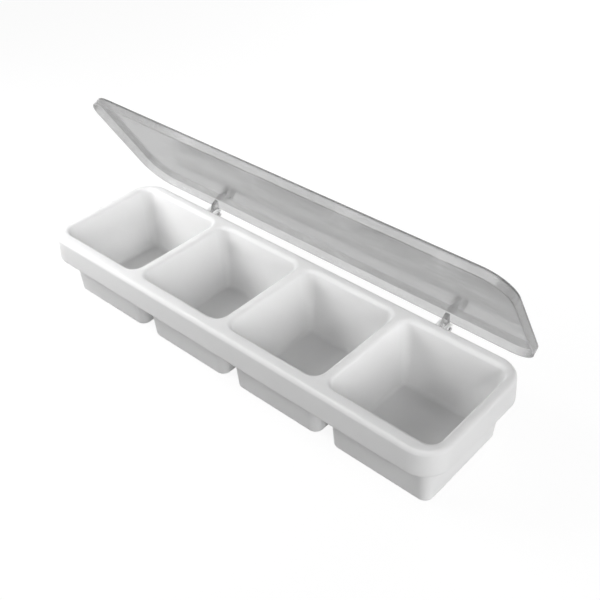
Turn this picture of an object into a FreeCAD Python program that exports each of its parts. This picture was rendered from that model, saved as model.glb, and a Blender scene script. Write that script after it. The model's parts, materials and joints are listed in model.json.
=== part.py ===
import FreeCAD, Part

# Bar caddy: a white tray of four cups in one moulding, with a clear lid that hinges at the back.
# Millimetres. The origin is under the middle of the tray, on the plane that the cups stand on.
# X runs along the tray, Y towards the hinge side and Z up.
# The lid is drawn shut and then swung open to the angle at which the caddy is shown.

import math
import os

from FreeCAD import Vector

# Tray rim: a flat band round the cups with a skirt hanging from its outer edge
RIM_LENGTH = 498.0
RIM_WIDTH = 143.0
RIM_CORNER_R = 26.0
HEIGHT = 77.0
WALL = 2.5
SKIRT_DEPTH = 26.0
SKIRT_FLARE = 1.5          # the skirt's foot stands this much outside its head
RIM_EDGE_R = 3.2           # roll at the rim's outer edge
LIP_R = 3.6                # roll into each cup

# Cups
CUP_COUNT = 4
CUP_PITCH = 121.0
CREST = 10.0               # width of the crest between two cups
END_BAND = 10.0            # rim width at the ends
FRONT_BAND = 15.0          # rim width at the front
REAR_BAND = 12.5           # and at the hinge side
WALL_LEAN = 5.5            # how far each cup wall leans in from crest to floor
CUP_CORNER_R = 12.0        # cup corners at the rim
FLOOR_R = 4.5              # inside roll from wall to floor
FOOT_R = 3.0               # outside roll from wall to foot

# Lid: a flat panel with a skirt that drops over the rim
LID_GAP = 1.6              # between the lid's skirt and the rim
LID_WALL = 1.9
LID_PANEL = 2.0
LID_DEPTH = 9.3            # panel top to skirt foot
LID_TAPER = 0.5            # the lid's head stands this much inside its foot
LID_SEAT = 0.3             # gap under the panel when the lid is shut
LID_EDGE_R = 1.7

# Hinges
HINGE_X = 154.0            # each hinge's distance from the middle
HINGE_BACK = 11.5          # pivot behind the rim's back face
HINGE_DROP = 10.5          # pivot below the rim's top
PIN_R = 2.2
PIN_CLEARANCE = 0.08       # radial running clearance
PIN_LENGTH = 3.0           # each pin's reach out of the arm
KNUCKLE_R = 4.8
ARM_WIDTH = 5.0
ARM_DEPTH = 7.0            # the arm's depth where it leaves the lid's skirt
EAR_THICK = 3.4
EAR_SIDE_GAP = 0.4         # between an ear and the arm
EAR_R = 4.6
EAR_DEPTH = 13.0           # height of an ear's root on the skirt
EAR_HEADROOM = 1.4         # from the root of an ear up to the foot of the shut lid
SNAP_MOUTH = 3.7           # the slot through which a pin snaps into its ear
HEEL_THICK = 3.2
HEEL_GAP = 0.4             # between the heel and the skirt when the lid is fully back

# Lid angles, from shut
OPEN_ANGLE = 59.0
FULL_ANGLE = 110.0

# Overlap used to join two forms in one moulding
ROOT = 0.6

# Worked-out places
RIM_FOOT = HEIGHT - SKIRT_DEPTH
FLOOR_TOP = WALL
PIVOT_Y = RIM_WIDTH / 2 + HINGE_BACK
PIVOT_Z = HEIGHT - HINGE_DROP
LID_LENGTH = RIM_LENGTH + 2 * (LID_GAP + LID_WALL)
LID_WIDTH = RIM_WIDTH + 2 * (LID_GAP + LID_WALL)
LID_CORNER_R = RIM_CORNER_R + LID_GAP + LID_WALL
LID_TOP = HEIGHT + LID_SEAT + LID_PANEL
LID_FOOT = LID_TOP - LID_DEPTH
EPS = 1e-4


def rounded_rectangle(x0, x1, y0, y1, radius, z):
    """A closed rectangle with round corners, lying at height z."""
    diagonal = radius * (1 - math.sqrt(0.5))
    corners = [
        (x1, y0, -1, 1), (x1, y1, -1, -1), (x0, y1, 1, -1), (x0, y0, 1, 1),
    ]
    arcs = []
    for index, (x, y, inward_x, inward_y) in enumerate(corners):
        along_x = Vector(x + inward_x * radius, y, z)
        along_y = Vector(x, y + inward_y * radius, z)
        middle = Vector(x + inward_x * diagonal, y + inward_y * diagonal, z)
        ends = (along_x, along_y) if index % 2 == 0 else (along_y, along_x)
        arcs.append((ends[0], middle, ends[1]))
    edges = []
    for index, (start, middle, end) in enumerate(arcs):
        edges.append(Part.Arc(start, middle, end).toShape())
        next_start = arcs[(index + 1) % len(arcs)][0]
        edges.append(Part.LineSegment(end, next_start).toShape())
    return Part.Wire(edges)


def centred_rectangle(length, width, radius, z):
    return rounded_rectangle(-length / 2, length / 2, -width / 2, width / 2, radius, z)


def tapered(lower, upper):
    """A solid with straight walls from one outline to the other."""
    return Part.makeLoft([lower, upper], True, True)


def edges_at_height(shape, z):
    return [e for e in shape.Edges
            if abs(e.BoundBox.ZMin - z) < EPS and abs(e.BoundBox.ZMax - z) < EPS]


def divider_places():
    return [(index - CUP_COUNT / 2) * CUP_PITCH for index in range(1, CUP_COUNT)]


def cup_section(index, z, wall):
    """The outline of a cup at height z, wall millimetres outside its inner face."""
    dividers = divider_places()
    end = RIM_LENGTH / 2 - END_BAND
    front = FRONT_BAND - RIM_WIDTH / 2
    rear = RIM_WIDTH / 2 - REAR_BAND
    x0 = -end if index == 0 else dividers[index - 1] + CREST / 2
    x1 = end if index == CUP_COUNT - 1 else dividers[index] - CREST / 2
    inset = WALL_LEAN * (HEIGHT - z) / (HEIGHT - FLOOR_TOP) - wall
    return rounded_rectangle(
        x0 + inset, x1 - inset, front + inset, rear - inset, CUP_CORNER_R - inset, z)


def cup_body(index):
    """The outside of a cup, from its foot into the rim's band."""
    head = HEIGHT - WALL / 2
    body = tapered(cup_section(index, 0, WALL), cup_section(index, head, WALL))
    return body.makeFillet(FOOT_R, edges_at_height(body, 0))


def cup_hollow(index):
    """The inside of a cup, cut up through the rim's band."""
    head = HEIGHT + WALL
    hollow = tapered(cup_section(index, FLOOR_TOP, 0), cup_section(index, head, 0))
    return hollow.makeFillet(FLOOR_R, edges_at_height(hollow, FLOOR_TOP))


def rim_shell():
    """The band and its skirt, open below."""
    foot_length = RIM_LENGTH + 2 * SKIRT_FLARE
    foot_width = RIM_WIDTH + 2 * SKIRT_FLARE
    outside = tapered(
        centred_rectangle(foot_length, foot_width, RIM_CORNER_R + SKIRT_FLARE, RIM_FOOT),
        centred_rectangle(RIM_LENGTH, RIM_WIDTH, RIM_CORNER_R, HEIGHT))
    outside = outside.makeFillet(RIM_EDGE_R, edges_at_height(outside, HEIGHT))
    cut = 2 * WALL
    inner_r = RIM_CORNER_R - WALL
    inside = tapered(
        centred_rectangle(foot_length - cut, foot_width - cut, inner_r + SKIRT_FLARE, RIM_FOOT),
        centred_rectangle(RIM_LENGTH - cut, RIM_WIDTH - cut, inner_r, HEIGHT - WALL))
    return outside.cut(inside)


def ear_places():
    """The lower X of each ear: two ears beside each hinge arm."""
    reach = ARM_WIDTH / 2 + EAR_SIDE_GAP
    places = []
    for hinge in (-HINGE_X, HINGE_X):
        places += [hinge - reach - EAR_THICK, hinge + reach]
    return places


def plate_from_profile(points, x, thickness):
    """A flat plate across X, from its (y, z) outline."""
    corners = [Vector(x, y, z) for y, z in points]
    return Part.Face(Part.makePolygon(corners + corners[:1])).extrude(Vector(thickness, 0, 0))


def disc(radius, x, thickness):
    return Part.makeCylinder(radius, thickness, Vector(x, PIVOT_Y, PIVOT_Z), Vector(1, 0, 0))


def on_circle(radius, degrees):
    angle = math.radians(degrees)
    return (PIVOT_Y + radius * math.cos(angle), PIVOT_Z + radius * math.sin(angle))


def ear(x):
    """A snap socket on the back of the skirt, open towards the back."""
    root_y = RIM_WIDTH / 2 - ROOT
    root_top = LID_FOOT - EAR_HEADROOM
    web = plate_from_profile(
        [(root_y, root_top), (root_y, root_top - EAR_DEPTH), on_circle(EAR_R, 260), on_circle(EAR_R, 95)],
        x, EAR_THICK)
    body = web.fuse(disc(EAR_R, x, EAR_THICK))
    body = body.cut(disc(PIN_R + PIN_CLEARANCE, x, EAR_THICK))
    mouth = Part.makeBox(EAR_THICK, 2 * EAR_R, SNAP_MOUTH, Vector(x, PIVOT_Y, PIVOT_Z - SNAP_MOUTH / 2))
    return body.cut(mouth)


def build_tray():
    tray = rim_shell()
    for index in range(CUP_COUNT):
        tray = tray.fuse(cup_body(index))
    for index in range(CUP_COUNT):
        tray = tray.cut(cup_hollow(index))
    lips = [e for e in edges_at_height(tray, HEIGHT)
            if abs(e.CenterOfMass.y) < RIM_WIDTH / 2 - RIM_EDGE_R - EPS
            and abs(e.CenterOfMass.x) < RIM_LENGTH / 2 - RIM_EDGE_R - EPS
            and not on_rim_roll(e)]
    tray = tray.makeFillet(LIP_R, lips)
    for x in ear_places():
        tray = tray.fuse(ear(x))
    return tray.removeSplitter()


def on_rim_roll(edge):
    """Whether an edge is part of the line where the flat band meets the rim's outer roll."""
    flat_x = RIM_LENGTH / 2 - RIM_EDGE_R
    flat_y = RIM_WIDTH / 2 - RIM_EDGE_R
    return any(abs(abs(v.X) - flat_x) < 0.5 or abs(abs(v.Y) - flat_y) < 0.5 for v in edge.Vertexes)


def lid_shell():
    """The lid's panel and skirt, shut over the rim."""
    head_length = LID_LENGTH - 2 * LID_TAPER
    head_width = LID_WIDTH - 2 * LID_TAPER
    outside = tapered(
        centred_rectangle(LID_LENGTH, LID_WIDTH, LID_CORNER_R, LID_FOOT),
        centred_rectangle(head_length, head_width, LID_CORNER_R - LID_TAPER, LID_TOP))
    outside = outside.makeFillet(LID_EDGE_R, edges_at_height(outside, LID_TOP))
    cut = 2 * LID_WALL
    inner_r = LID_CORNER_R - LID_WALL
    inside = tapered(
        centred_rectangle(LID_LENGTH - cut, LID_WIDTH - cut, inner_r, LID_FOOT),
        centred_rectangle(head_length - cut, head_width - cut, inner_r - LID_TAPER, LID_TOP - LID_PANEL))
    return outside.cut(inside)


def hinge_arm(x):
    """An arm on the back of the lid, with a pin each side and a heel that stops the swing."""
    low_x = x - ARM_WIDTH / 2
    skirt_y = LID_WIDTH / 2 - LID_TAPER - ROOT
    arm = plate_from_profile(
        [(skirt_y, LID_FOOT), on_circle(KNUCKLE_R, 205), on_circle(KNUCKLE_R, 75),
         (skirt_y, LID_FOOT + ARM_DEPTH)],
        low_x, ARM_WIDTH)
    stop_y = RIM_WIDTH / 2 + SKIRT_FLARE * HINGE_DROP / SKIRT_DEPTH
    reach = PIVOT_Y - stop_y - HEEL_GAP
    heel_low = Vector(low_x, PIVOT_Y - reach, PIVOT_Z - HEEL_THICK / 2)
    heel = Part.makeBox(ARM_WIDTH, reach, HEEL_THICK, heel_low)
    heel.rotate(Vector(x, PIVOT_Y, PIVOT_Z), Vector(1, 0, 0), FULL_ANGLE)
    pin_span = ARM_WIDTH + 2 * PIN_LENGTH
    body = arm.fuse([disc(KNUCKLE_R, low_x, ARM_WIDTH), heel])
    return body.fuse(disc(PIN_R, x - pin_span / 2, pin_span))


def build_lid():
    lid = lid_shell()
    for x in (-HINGE_X, HINGE_X):
        lid = lid.fuse(hinge_arm(x))
    lid = lid.removeSplitter()
    lid.rotate(Vector(0, PIVOT_Y, PIVOT_Z), Vector(1, 0, 0), -OPEN_ANGLE)
    return lid


def main():
    os.makedirs("parts", exist_ok=True)
    for name, build in (("tray", build_tray), ("lid", build_lid)):
        shape = build()
        print(name, "valid", shape.isValid(), "solids", len(shape.Solids), "volume", round(shape.Volume))
        shape.exportStep("parts/" + name + ".step")


main()
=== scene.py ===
import json
import math

import bmesh
import bpy
from bpy.props import FloatProperty, FloatVectorProperty, IntProperty, PointerProperty
from mathutils import Euler, Matrix, Vector


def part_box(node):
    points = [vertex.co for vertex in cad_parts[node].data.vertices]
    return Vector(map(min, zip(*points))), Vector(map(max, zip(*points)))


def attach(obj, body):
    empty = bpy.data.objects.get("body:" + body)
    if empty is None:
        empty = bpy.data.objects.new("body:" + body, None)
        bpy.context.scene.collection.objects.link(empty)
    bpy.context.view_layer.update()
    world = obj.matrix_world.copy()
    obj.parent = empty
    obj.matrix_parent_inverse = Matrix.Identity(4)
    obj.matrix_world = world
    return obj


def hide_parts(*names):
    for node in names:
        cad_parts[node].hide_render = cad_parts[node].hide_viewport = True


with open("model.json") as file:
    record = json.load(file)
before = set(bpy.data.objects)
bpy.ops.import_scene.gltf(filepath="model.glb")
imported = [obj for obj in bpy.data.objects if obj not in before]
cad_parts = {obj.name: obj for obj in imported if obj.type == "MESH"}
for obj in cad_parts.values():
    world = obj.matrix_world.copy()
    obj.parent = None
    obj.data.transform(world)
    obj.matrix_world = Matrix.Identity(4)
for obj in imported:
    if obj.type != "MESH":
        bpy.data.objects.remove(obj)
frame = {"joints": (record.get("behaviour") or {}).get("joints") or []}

bl_info = {
    "name": "Bar caddy",
    "version": (1, 0, 0),
    "blender": (4, 5, 0),
    "location": "3D Viewport > Sidebar > Bar caddy",
    "description": "Models a moulded bar caddy with a hinged clear lid, and its stage",
    "category": "Object",
}

MM = 0.001

# What the frame says: the hinge's place, how far open the lid rests and how far it goes, and the height
HINGE = frame["joints"][0]
PIVOT = Vector(HINGE["pos_m"])
OPEN_ANGLE = -math.radians(HINGE["range_deg"][0])
FULL_ANGLE = math.radians(HINGE["range_deg"][1]) + OPEN_ANGLE
TRAY_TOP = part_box("tray")[1].z

# How finely round forms are drawn
CORNER_STEPS = 16
ROLL_STEPS = 6
EAR_STEPS = 8
HINGE_STEPS = 24
PIN_STEPS = 32
SOFT_EDGE = 0.35 * MM
SMOOTH_ANGLE = math.radians(35)

# A face is level when its normal's Z is past LEVEL, and heights closer than NEAR are the same
LEVEL = 0.99
NEAR = 0.01 * MM

# Where the round ends of ears and arms meet their straight sides, in degrees from straight back
EAR_BELOW, EAR_ABOVE = 260, 95
ARM_BELOW, ARM_ABOVE = 205, 435

# What shows in the two plastics, and how many times longer than wide a streak is
FLOW_PATCH = 55.6 * MM
SKIN_GRAIN = 1.11 * MM
STREAK_WIDTH = 6.25 * MM
STREAK_STRETCH = 5

# The soft lights, aimed at the middle of the caddy or, for the reflector, straight down. Gloss doesn't
# show the lower ones, whose image in the flat lid would burn it out to the white of the room
MIDDLE = (0, 0, 0.05)
LIGHTS = (
    {"name": "left_light", "place": (-0.57, -0.33, 0.49), "target": MIDDLE,
     "size": (0.5, 0.5), "power": 6.6, "hidden_from": ("glossy",)},
    {"name": "right_light", "place": (1.77, -0.64, 0.71), "target": MIDDLE,
     "size": (1.2, 1.2), "power": 33.5, "hidden_from": ("glossy",)},
    {"name": "back_light", "place": (0, 1.12, 0.3), "target": MIDDLE,
     "size": (0.7, 0.7), "power": 9, "hidden_from": ("camera", "glossy", "transmission")},
    # Shows only in the gloss, as the bright band along the rim and the lid's front edge
    {"name": "top_reflector", "place": (0.05, -0.15, 0.9), "target": (0.05, -0.15, 0),
     "size": (1.7, 0.35), "power": 6.2, "hidden_from": ("camera", "diffuse", "transmission")},
)
FLOOR_SIZE = 8
SENSOR_WIDTH = 36


def linear(hex_colour):
    """The linear RGBA of an sRGB colour such as D8D8D6."""
    channels = [int(hex_colour[i:i + 2], 16) / 255 for i in (0, 2, 4)]
    return tuple(c / 12.92 if c <= 0.04045 else ((c + 0.055) / 1.055) ** 2.4 for c in channels) + (1.0,)


def length(name, millimetres, description):
    """A length that the user can set."""
    return FloatProperty(
        name=name, default=millimetres * MM, unit="LENGTH", precision=4, description=description)


def angle(name, degrees, description):
    """An angle that the user can set."""
    return FloatProperty(
        name=name, default=math.radians(degrees), subtype="ANGLE", description=description)


def colour(name, hex_colour, description):
    """A colour that the user can set."""
    return FloatVectorProperty(
        name=name, default=linear(hex_colour), subtype="COLOR", size=4, min=0, max=1,
        description=description)


class TraySizes(bpy.types.PropertyGroup):
    """Sizes of the tray"""
    rim_length: length("Rim length", 498, "Length of the rim at its head")
    rim_width: length("Rim width", 143, "Width of the rim at its head")
    rim_corner: length("Rim corner", 26, "Radius of the rim's corners")
    wall: length("Wall", 2.5, "Thickness of the moulding")
    skirt_depth: length("Skirt depth", 26, "Height of the skirt that hangs from the rim")
    skirt_flare: length("Skirt flare", 1.5, "How far the skirt's foot stands outside its head")
    rim_roll: length("Rim roll", 4.5, "Radius of the rim's outer edge")
    lip_roll: length("Lip roll", 4.6, "Radius from the rim into each cup")
    cup_pitch: length("Cup pitch", 121, "Distance from one divider to the next")
    crest: length("Crest", 10, "Width of the crest between two cups")
    end_band: length("End band", 10, "Width of the rim at the ends")
    front_band: length("Front band", 15, "Width of the rim at the front")
    rear_band: length("Rear band", 12.5, "Width of the rim at the hinge side")
    wall_lean: length("Wall lean", 5.5, "How far each cup wall leans in from crest to floor")
    cup_corner: length("Cup corner", 12, "Radius of a cup's corners at the rim")
    floor_roll: length("Floor roll", 4.5, "Radius from a cup's wall to its floor")
    foot_roll: length("Foot roll", 3, "Radius from a cup's outer wall to its underside")
    inner_roll: length("Inner roll", 0.8, "Radius of the corners under the rim")
    cups: IntProperty(name="Cups", default=4, min=1, description="Number of cups in the row")


class LidSizes(bpy.types.PropertyGroup):
    """Sizes of the lid and how it sits on the rim"""
    gap: length("Gap", 1.6, "Gap between the lid's skirt and the rim")
    wall: length("Wall", 1.9, "Thickness of the lid's skirt")
    panel: length("Panel", 2.0, "Thickness of the lid's panel")
    depth: length("Depth", 9.3, "Height of the lid from skirt foot to panel")
    taper: length("Taper", 0.5, "How far the lid's head stands inside its foot")
    seat: length("Seat", 0.3, "Gap under the panel when the lid is shut")
    edge_roll: length("Edge roll", 1.7, "Radius of the panel's outer edge")
    inner_roll: length("Inner roll", 0.8, "Radius inside, between skirt and panel")


class HingeSizes(bpy.types.PropertyGroup):
    """Sizes of the tray's ears and the lid's arms"""
    spread: length("Spread", 154, "Distance of each hinge from the middle")
    pin: length("Pin radius", 2.2, "Radius of the stub pins")
    pin_clearance: length("Pin clearance", 0.08, "Radial clearance of a pin in its socket")
    pin_reach: length("Pin reach", 3, "How far a pin stands out of its arm")
    knuckle: length("Knuckle radius", 4.8, "Radius of the arm's round end")
    arm_width: length("Arm width", 5, "Width of each arm along the lid")
    arm_depth: length("Arm depth", 7, "Depth of the arm where it leaves the lid")
    ear_thickness: length("Ear thickness", 3.4, "Thickness of each ear")
    ear_gap: length("Ear gap", 0.4, "Gap between an ear and the arm")
    ear_radius: length("Ear radius", 4.6, "Radius of an ear round its socket")
    ear_depth: length("Ear depth", 13, "Height of an ear's root on the skirt")
    ear_headroom: length("Ear headroom", 1.4, "From an ear's root up to the shut lid")
    mouth: length("Socket mouth", 3.7, "Slot through which a pin snaps in")
    heel: length("Heel thickness", 3.2, "Thickness of the heel that stops the lid")
    heel_gap: length("Heel gap", 0.4, "Gap from heel to skirt with the lid fully back")


class Finishes(bpy.types.PropertyGroup):
    """Colours of the two plastics"""
    tray_colour: colour("Tray colour", "EEEEEE", "Body colour of the white tray")
    tray_shade: colour("Tray flow colour", "E6E6E6", "Faint second tone where the melt flowed")
    lid_colour: colour("Lid colour", "E0E0E0", "Tint of the clear lid seen face on")
    lid_edge: colour("Lid edge colour", "868686", "Tint of the clear lid seen edge on")


class StageSettings(bpy.types.PropertyGroup):
    """Place and lens of the camera"""
    azimuth: angle("Azimuth", 42.57, "Camera's turn about the tray")
    elevation: angle("Elevation", 38.21, "Camera's height angle")
    roll: angle("Roll", -1.50, "Camera's turn about its own line of sight")
    distance: length("Distance", 925.18, "Camera's distance from the point it is aimed at")
    aim_right: length("Aim right", 33.59, "Aim point's shift to the right in the picture")
    aim_up: length("Aim up", 54.48, "Aim point's shift upwards in the picture")
    lens: FloatProperty(
        name="Lens", default=54.514, description="Focal length in millimetres on a 36 mm sensor")


def only(obj):
    """Makes obj the one selected and active object."""
    bpy.ops.object.select_all(action="DESELECT")
    obj.select_set(True)
    bpy.context.view_layer.objects.active = obj


def start_edit(obj):
    """Opens obj in edit mode with nothing selected."""
    only(obj)
    bpy.ops.object.mode_set(mode="EDIT")
    bpy.ops.mesh.select_all(action="DESELECT")


def end_edit():
    """Goes back to object mode."""
    bpy.ops.object.mode_set(mode="OBJECT")


def select_faces(obj, test):
    """Selects the faces that pass a test, and no others."""
    bpy.ops.mesh.select_mode(type="FACE")
    mesh = bmesh.from_edit_mesh(obj.data)
    for face in mesh.faces:
        face.select_set(test(face))
    bmesh.update_edit_mesh(obj.data)


def select_edges(obj, test):
    """Selects the edges that pass a test, and no others."""
    bpy.ops.mesh.select_mode(type="EDGE")
    mesh = bmesh.from_edit_mesh(obj.data)
    for edge in mesh.edges:
        edge.select_set(test(edge))
    bmesh.update_edit_mesh(obj.data)


def join(pieces):
    """Makes pieces one object, which keeps the first one's name."""
    only(pieces[0])
    for piece in pieces[1:]:
        piece.select_set(True)
    bpy.ops.object.join()
    return pieces[0]


def modify(obj, kind, **settings):
    """Adds a modifier with its settings and applies it."""
    only(obj)
    modifier = obj.modifiers.new(kind.title(), kind)
    for name, value in settings.items():
        setattr(modifier, name, value)
    bpy.ops.object.modifier_apply(modifier=modifier.name)


def weld_on(obj, piece):
    """Unites a piece with obj into one moulding."""
    modify(obj, "BOOLEAN", operation="UNION", object=piece, solver="EXACT")
    bpy.data.objects.remove(piece)


def rounded_sheet(name, x0, x1, y0, y1, radius, z):
    """A flat rectangle with round corners, facing up at height z."""
    bpy.ops.object.select_all(action="DESELECT")
    bpy.ops.mesh.primitive_plane_add(size=1, location=((x0 + x1) / 2, (y0 + y1) / 2, z))
    sheet = bpy.context.object
    sheet.name = name
    sheet.scale = (x1 - x0, y1 - y0, 1)
    bpy.ops.object.transform_apply(location=True, rotation=True, scale=True)
    start_edit(sheet)
    bpy.ops.mesh.select_all(action="SELECT")
    bpy.ops.mesh.bevel(offset=radius, segments=CORNER_STEPS, affect="VERTICES")
    end_edit()
    return sheet


def round_off(before, corner, after, radius, steps=ROLL_STEPS):
    """The points of an arc that rounds a corner of a profile, from one tangent to the other."""
    before, corner, after = Vector(before), Vector(corner), Vector(after)
    back, on = (before - corner).normalized(), (after - corner).normalized()
    half = back.angle(on) / 2
    centre = corner + (back + on).normalized() * radius / math.sin(half)
    start = corner + back * radius / math.tan(half) - centre
    turn = math.copysign(math.pi - 2 * half, back.x * on.y - back.y * on.x)
    return [centre + Matrix.Rotation(-turn * step / steps, 2) @ start for step in range(steps + 1)]


def draw_rings(sheet, profile):
    """Carries a sheet's face along a profile of (distance inside its outline, height), ring by ring."""
    start_edit(sheet)
    bpy.ops.mesh.select_all(action="SELECT")
    for here, there in zip(profile, profile[1:]):
        bpy.ops.mesh.inset(thickness=there[0] - here[0], depth=there[1] - here[1])
    end_edit()


def turn_over(obj):
    """Turns every face to look the other way."""
    start_edit(obj)
    bpy.ops.mesh.select_all(action="SELECT")
    bpy.ops.mesh.flip_normals()
    end_edit()


def close_foot(obj):
    """Joins the open outlines of a moulding's outer and inner face."""
    start_edit(obj)
    select_edges(obj, lambda edge: edge.is_boundary)
    bpy.ops.mesh.bridge_edge_loops()
    end_edit()


def arc(centre, radius, start, end, steps):
    """Points on a circle across X, as (y, z), from one angle to another in degrees."""
    angles = [math.radians(start + (end - start) * step / steps) for step in range(steps + 1)]
    return [(centre.y + radius * math.cos(a), centre.z + radius * math.sin(a)) for a in angles]


def plate(name, outline, x, thickness):
    """A flat plate across X with the given (y, z) outline, starting at x."""
    bpy.ops.object.select_all(action="DESELECT")
    bpy.ops.mesh.primitive_circle_add(vertices=len(outline), fill_type="NGON")
    made = bpy.context.object
    made.name = name
    for vertex, (y, z) in zip(made.data.vertices, outline):
        vertex.co = (x, y, z)
    start_edit(made)
    bpy.ops.mesh.select_all(action="SELECT")
    bpy.ops.mesh.extrude_region_move(TRANSFORM_OT_translate={"value": (thickness, 0, 0)})
    bpy.ops.mesh.select_all(action="SELECT")
    bpy.ops.mesh.normals_make_consistent(inside=False)
    end_edit()
    return made


def finish_moulding(obj, material, body, node):
    """Softens the sharp edges, smooths the round forms, and gives a piece its finish and its node."""
    modify(obj, "BEVEL", width=SOFT_EDGE, segments=2, limit_method="ANGLE", angle_limit=SMOOTH_ANGLE)
    only(obj)
    bpy.ops.object.shade_smooth_by_angle(angle=SMOOTH_ANGLE)
    modify(obj, "WEIGHTED_NORMAL", keep_sharp=True)
    obj.data.materials.clear()
    obj.data.materials.append(material)
    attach(obj, body)
    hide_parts(node)


def add_node(tree, kind, inputs=None, **settings):
    """Adds a shader node, sets its properties, and sets or links its inputs."""
    node = tree.nodes.new(kind)
    for name, value in settings.items():
        setattr(node, name, value)
    for name, value in (inputs or {}).items():
        if isinstance(value, bpy.types.NodeSocket):
            tree.links.new(value, node.inputs[name])
        else:
            node.inputs[name].default_value = value
    return node


def new_material(name):
    """A node material, with its tree and its shader."""
    material = bpy.data.materials.new(name)
    material.use_nodes = True
    tree = material.node_tree
    return material, tree, tree.nodes["Principled BSDF"]


def moulded_polypropylene(finishes):
    """Injection-moulded white polypropylene: a satin skin that lets a little light in at its edges."""
    material, tree, skin = new_material("white_moulded_polypropylene")
    place = add_node(tree, "ShaderNodeTexCoord").outputs["Object"]
    flow = add_node(tree, "ShaderNodeTexNoise", {
        "Vector": place, "Scale": 1 / FLOW_PATCH, "Detail": 3.0, "Roughness": 0.55})
    tone = add_node(tree, "ShaderNodeMix", {
        "Factor": flow.outputs["Fac"], "A": finishes.tray_colour, "B": finishes.tray_shade},
        data_type="RGBA")
    sheen = add_node(tree, "ShaderNodeMapRange", {
        "Value": flow.outputs["Fac"], "To Min": 0.34, "To Max": 0.46})
    # The mould's own grain, about 0.05 mm, is too fine to show, so it is drawn coarser
    grain = add_node(tree, "ShaderNodeTexNoise", {"Vector": place, "Scale": 1 / SKIN_GRAIN, "Detail": 2.0})
    bump = add_node(tree, "ShaderNodeBump", {
        "Height": grain.outputs["Fac"], "Strength": 0.06, "Distance": 0.2 * MM})
    tree.links.new(tone.outputs["Result"], skin.inputs["Base Color"])
    tree.links.new(sheen.outputs["Result"], skin.inputs["Roughness"])
    tree.links.new(bump.outputs["Normal"], skin.inputs["Normal"])
    skin.inputs["IOR"].default_value = 1.49
    skin.inputs["Subsurface Weight"].default_value = 0.7
    skin.inputs["Subsurface Radius"].default_value = (1.0, 1.0, 1.0)
    skin.inputs["Subsurface Scale"].default_value = 5 * MM
    return material


def clear_polystyrene(finishes):
    """Clear moulded polystyrene: glassy with a grey cast, deeper seen edge on, and faint flow streaks."""
    material, tree, skin = new_material("clear_moulded_polystyrene")
    place = add_node(tree, "ShaderNodeTexCoord").outputs["Object"]
    along = add_node(tree, "ShaderNodeMapping", {
        "Vector": place, "Scale": (1 / STREAK_STRETCH, 1.0, 1.0)}, vector_type="POINT")
    streaks = add_node(tree, "ShaderNodeTexNoise", {
        "Vector": along.outputs["Vector"], "Scale": 1 / STREAK_WIDTH, "Detail": 4.0, "Roughness": 0.6})
    streak_tone = add_node(tree, "ShaderNodeMapRange", {
        "Value": streaks.outputs["Fac"], "To Min": -0.22, "To Max": 0.22})
    edge_on = add_node(tree, "ShaderNodeLayerWeight", {"Blend": 0.5})
    cast = add_node(tree, "ShaderNodeMath", {
        0: edge_on.outputs["Facing"], 1: streak_tone.outputs["Result"]}, operation="ADD")
    tone = add_node(tree, "ShaderNodeMix", {
        "Factor": cast.outputs["Value"], "A": finishes.lid_colour, "B": finishes.lid_edge},
        data_type="RGBA")
    haze = add_node(tree, "ShaderNodeMapRange", {
        "Value": streaks.outputs["Fac"], "To Min": 0.09, "To Max": 0.17})
    bump = add_node(tree, "ShaderNodeBump", {
        "Height": streaks.outputs["Fac"], "Strength": 0.15, "Distance": 0.2 * MM})
    tree.links.new(tone.outputs["Result"], skin.inputs["Base Color"])
    tree.links.new(haze.outputs["Result"], skin.inputs["Roughness"])
    tree.links.new(bump.outputs["Normal"], skin.inputs["Normal"])
    skin.inputs["IOR"].default_value = 1.57
    skin.inputs["Transmission Weight"].default_value = 0.85
    return material


def model_tray(sizes):
    """The rim, its skirt and the cups: an upper and a lower face, joined round the skirt's foot."""
    upper = model_face(sizes, 0, sizes.rim_roll, sizes.lip_roll, sizes.floor_roll)
    lower = model_face(sizes, sizes.wall, sizes.inner_roll, sizes.inner_roll, sizes.foot_roll)
    turn_over(lower)
    tray = join([upper, lower])
    close_foot(tray)
    return tray


def model_face(sizes, wall, rim_roll, lip_roll, toe_roll):
    """The tray's upper face, or the face that lies one wall below it."""
    top = TRAY_TOP - wall
    foot = TRAY_TOP - sizes.skirt_depth
    outset = sizes.skirt_flare - wall
    end, side = sizes.rim_length / 2 + outset, sizes.rim_width / 2 + outset
    rim = rounded_sheet("tray_moulding", -end, end, -side, side, sizes.rim_corner + outset, foot)
    draw_rings(rim, [Vector((0, foot))] + round_off((0, foot), (sizes.skirt_flare, top), (side, top), rim_roll))
    start_edit(rim)
    select_faces(rim, lambda face: face.calc_center_median().z > top - NEAR and face.normal.z > LEVEL)
    bpy.ops.mesh.delete(type="ONLY_FACE")
    end_edit()
    slope = sizes.wall_lean / (TRAY_TOP - sizes.wall)
    toe_height = sizes.wall - wall
    lip = (slope * wall - wall, top)
    toe = (slope * (TRAY_TOP - toe_height) - wall, toe_height)
    profile = round_off((lip[0] - side, top), lip, toe, lip_roll)
    profile += round_off(lip, toe, (side, toe_height), toe_roll)
    face = join([rim] + [model_cup(sizes, index, profile) for index in range(sizes.cups)])
    start_edit(face)
    select_edges(face, lambda edge: edge.is_boundary and min(v.co.z for v in edge.verts) > top - NEAR)
    bpy.ops.mesh.fill(use_beauty=True)
    select_faces(face, lambda face: face.calc_center_median().z > top - NEAR and face.normal.z < 0)
    bpy.ops.mesh.flip_normals()
    end_edit()
    return face


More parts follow.
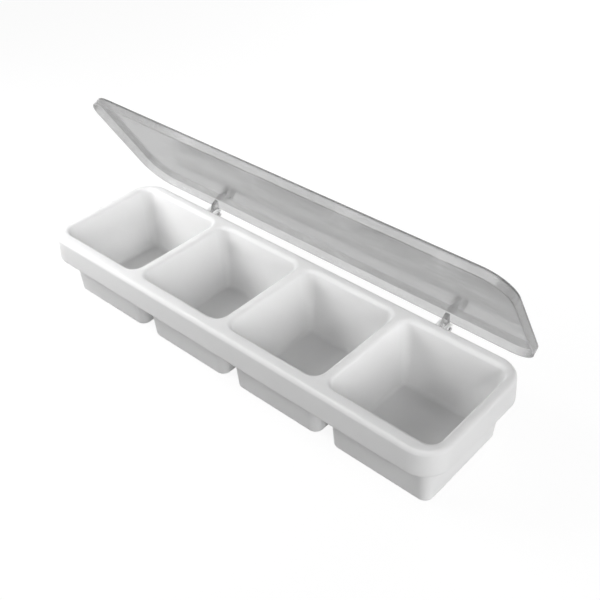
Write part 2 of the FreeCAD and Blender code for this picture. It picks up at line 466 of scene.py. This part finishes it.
def model_cup(sizes, index, profile):
    """One cup, drawn down from its lip to its floor along a profile."""
    end = sizes.rim_length / 2 - sizes.end_band
    front = sizes.front_band - sizes.rim_width / 2
    rear = sizes.rim_width / 2 - sizes.rear_band
    divider = (index - sizes.cups / 2) * sizes.cup_pitch
    x0 = -end if index == 0 else divider + sizes.crest / 2
    x1 = end if index == sizes.cups - 1 else divider + sizes.cup_pitch - sizes.crest / 2
    inside, top = profile[0]
    cup = rounded_sheet(
        "cup", x0 + inside, x1 - inside, front + inside, rear - inside, sizes.cup_corner - inside, top)
    draw_rings(cup, profile)
    return cup


def foot_of_lid(lid_sizes):
    """Height of the shut lid's foot."""
    return TRAY_TOP + lid_sizes.seat + lid_sizes.panel - lid_sizes.depth


def model_ear(tray_sizes, lid_sizes, sizes, x):
    """A snap socket on the back of the skirt, open towards the back."""
    root_y = tray_sizes.rim_width / 2 - tray_sizes.wall / 4
    root_top = foot_of_lid(lid_sizes) - sizes.ear_headroom
    socket = sizes.pin + sizes.pin_clearance
    outer_half = math.degrees(math.asin(sizes.mouth / 2 / sizes.ear_radius))
    inner_half = math.degrees(math.asin(sizes.mouth / 2 / socket))
    outline = [(root_y, root_top), (root_y, root_top - sizes.ear_depth)]
    outline += arc(PIVOT, sizes.ear_radius, EAR_BELOW, 360 - outer_half, EAR_STEPS)
    outline += arc(PIVOT, socket, 360 - inner_half, inner_half, HINGE_STEPS)
    outline += arc(PIVOT, sizes.ear_radius, outer_half, EAR_ABOVE, EAR_STEPS)
    return plate("ear", outline, x, sizes.ear_thickness)


def model_lid(tray_sizes, sizes):
    """The lid's panel and skirt, shut over the rim."""
    end = tray_sizes.rim_length / 2 + sizes.gap + sizes.wall
    side = tray_sizes.rim_width / 2 + sizes.gap + sizes.wall
    corner = tray_sizes.rim_corner + sizes.gap + sizes.wall
    foot = foot_of_lid(sizes)
    top = foot + sizes.depth
    shells = []
    for name, wall, ceiling, roll in (
            ("lid_moulding", 0, top, sizes.edge_roll),
            ("lid_inside", sizes.wall, top - sizes.panel, sizes.inner_roll)):
        shell = rounded_sheet(name, wall - end, end - wall, wall - side, side - wall, corner - wall, foot)
        head = round_off((0, foot), (sizes.taper, ceiling), (side, ceiling), roll)
        draw_rings(shell, [Vector((0, foot))] + head)
        shells.append(shell)
    turn_over(shells[1])
    lid = join(shells)
    close_foot(lid)
    return lid


def model_arm(tray_sizes, lid_sizes, sizes, x):
    """An arm on the back of the lid, with a stub pin each side and the heel that stops the swing."""
    foot = foot_of_lid(lid_sizes)
    root_y = tray_sizes.rim_width / 2 + lid_sizes.gap + lid_sizes.wall / 2
    low_x = x - sizes.arm_width / 2
    knuckle = arc(PIVOT, sizes.knuckle, ARM_BELOW, ARM_ABOVE, HINGE_STEPS)
    outline = [(root_y, foot)] + knuckle + [(root_y, foot + sizes.arm_depth)]
    arm = plate("arm", outline, low_x, sizes.arm_width)
    drop = TRAY_TOP - PIVOT.z
    stop_y = tray_sizes.rim_width / 2 + tray_sizes.skirt_flare * drop / tray_sizes.skirt_depth
    reach = PIVOT.y - stop_y - sizes.heel_gap
    turn = Matrix.Rotation(FULL_ANGLE, 2)
    half = sizes.heel / 2
    corners = [(-reach, -half), (0, -half), (0, half), (-reach, half)]
    heel_outline = [turn @ Vector(corner) + PIVOT.yz for corner in corners]
    weld_on(arm, plate("heel", heel_outline, low_x, sizes.arm_width))
    span = sizes.arm_width + 2 * sizes.pin_reach
    bpy.ops.object.select_all(action="DESELECT")
    bpy.ops.mesh.primitive_cylinder_add(
        vertices=PIN_STEPS, radius=sizes.pin, depth=span, location=(x, PIVOT.y, PIVOT.z),
        rotation=(0, math.pi / 2, 0))
    pin = bpy.context.object
    bpy.ops.object.transform_apply(location=True, rotation=True, scale=True)
    weld_on(arm, pin)
    return arm


def swing_open(lid):
    """Turns the shut lid about the hinge to the angle at which it rests."""
    start_edit(lid)
    bpy.ops.mesh.select_all(action="SELECT")
    bpy.ops.transform.rotate(value=OPEN_ANGLE, orient_axis="X", center_override=PIVOT)
    end_edit()


class CADDY_OT_tray(bpy.types.Operator):
    """Model the white tray with its four cups and hinge ears"""
    bl_idname = "caddy.tray"
    bl_label = "Tray"

    def execute(self, context):
        scene = context.scene
        hinge = scene.caddy_hinge
        tray = model_tray(scene.caddy_tray)
        reach = hinge.arm_width / 2 + hinge.ear_gap
        for place in (-hinge.spread, hinge.spread):
            for x in (place - reach - hinge.ear_thickness, place + reach):
                weld_on(tray, model_ear(scene.caddy_tray, scene.caddy_lid, hinge, x))
        material = moulded_polypropylene(scene.caddy_finishes)
        finish_moulding(tray, material, "tray", "tray")
        return {"FINISHED"}


class CADDY_OT_lid(bpy.types.Operator):
    """Model the clear lid with its hinge arms and stub pins"""
    bl_idname = "caddy.lid"
    bl_label = "Lid"

    def execute(self, context):
        scene = context.scene
        hinge = scene.caddy_hinge
        lid = model_lid(scene.caddy_tray, scene.caddy_lid)
        for x in (-hinge.spread, hinge.spread):
            weld_on(lid, model_arm(scene.caddy_tray, scene.caddy_lid, hinge, x))
        swing_open(lid)
        material = clear_polystyrene(scene.caddy_finishes)
        finish_moulding(lid, material, "lid", "lid")
        return {"FINISHED"}


def stage_paper():
    """Matt white paper, lit from below as on a light table, so that it stays near white."""
    material, tree, skin = new_material("white_paper")
    skin.inputs["Base Color"].default_value = linear("5A5A5A")
    skin.inputs["Roughness"].default_value = 0.9
    skin.inputs["Emission Color"].default_value = linear("FFFFFF")
    skin.inputs["Emission Strength"].default_value = 0.9
    return material


def area_light(name, place, target, size, power, hidden_from):
    """A soft light of a (width, depth) at a place, aimed at a target and hidden from some kinds of ray."""
    bpy.ops.object.light_add(type="AREA", location=place)
    light = bpy.context.object
    light.name = name
    light.data.shape = "RECTANGLE"
    light.data.size, light.data.size_y = size
    light.data.energy = power
    light.rotation_euler = (Vector(target) - Vector(place)).to_track_quat("-Z", "Y").to_euler()
    for kind in hidden_from:
        setattr(light, "visible_" + kind, False)


class CADDY_OT_stage(bpy.types.Operator):
    """Set out the pale floor, the soft lights and the camera"""
    bl_idname = "caddy.stage"
    bl_label = "Stage"

    def execute(self, context):
        scene = context.scene
        bpy.ops.object.select_all(action="DESELECT")
        bpy.ops.mesh.primitive_plane_add(size=FLOOR_SIZE, location=(0, 0, 0))
        floor = context.object
        floor.name = "floor"
        floor.data.materials.append(stage_paper())
        for light in LIGHTS:
            area_light(**light)
        world = bpy.data.worlds.new("studio")
        world.use_nodes = True
        background = world.node_tree.nodes["Background"]
        background.inputs["Color"].default_value = linear("FFFFFF")
        background.inputs["Strength"].default_value = 1.0
        scene.world = world
        # Light from the paper and the room would fill the cups, which get dark towards their floors
        floor.visible_diffuse = False
        world.cycles_visibility.diffuse = False
        scene.view_settings.view_transform = "Standard"
        self.add_camera(scene, scene.caddy_stage)
        return {"FINISHED"}

    def add_camera(self, scene, settings):
        """The camera at the photograph's viewing angle."""
        tilt = math.pi / 2 - settings.elevation
        turn = Euler((tilt, 0, settings.azimuth)).to_matrix() @ Matrix.Rotation(settings.roll, 3, "Z")
        place = turn @ Vector((settings.aim_right, settings.aim_up, settings.distance))
        bpy.ops.object.camera_add()
        camera = bpy.context.object
        camera.matrix_world = Matrix.Translation(place) @ turn.to_4x4()
        camera.data.sensor_width = SENSOR_WIDTH
        camera.data.lens = settings.lens
        camera.data.clip_start = 10 * MM
        scene.camera = camera


class CADDY_PT_panel(bpy.types.Panel):
    """Lists the caddy's sizes, finishes and modelling steps"""
    bl_idname = "CADDY_PT_panel"
    bl_label = "Bar caddy"
    bl_space_type = "VIEW_3D"
    bl_region_type = "UI"
    bl_category = "Bar caddy"

    def draw(self, context):
        layout = self.layout
        for operator in OPERATORS:
            layout.operator(operator.bl_idname)
        for group, name in GROUPS.items():
            box = layout.box()
            box.label(text=group.__name__)
            for field in group.__annotations__:
                box.prop(getattr(context.scene, name), field)


OPERATORS = (CADDY_OT_tray, CADDY_OT_lid, CADDY_OT_stage)
GROUPS = {
    TraySizes: "caddy_tray",
    LidSizes: "caddy_lid",
    HingeSizes: "caddy_hinge",
    Finishes: "caddy_finishes",
    StageSettings: "caddy_stage",
}


def register():
    """Registers the classes and hangs each group of settings on the scene."""
    for group, name in GROUPS.items():
        bpy.utils.register_class(group)
        setattr(bpy.types.Scene, name, PointerProperty(type=group))
    for each in OPERATORS + (CADDY_PT_panel,):
        bpy.utils.register_class(each)


def unregister():
    """Takes back what register did."""
    for each in (CADDY_PT_panel,) + OPERATORS[::-1]:
        bpy.utils.unregister_class(each)
    for group, name in reversed(GROUPS.items()):
        delattr(bpy.types.Scene, name)
        bpy.utils.unregister_class(group)


def main():
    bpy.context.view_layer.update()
    register()
    bpy.ops.caddy.tray()
    bpy.ops.caddy.lid()
    bpy.ops.caddy.stage()


if __name__ == "__main__":
    main()
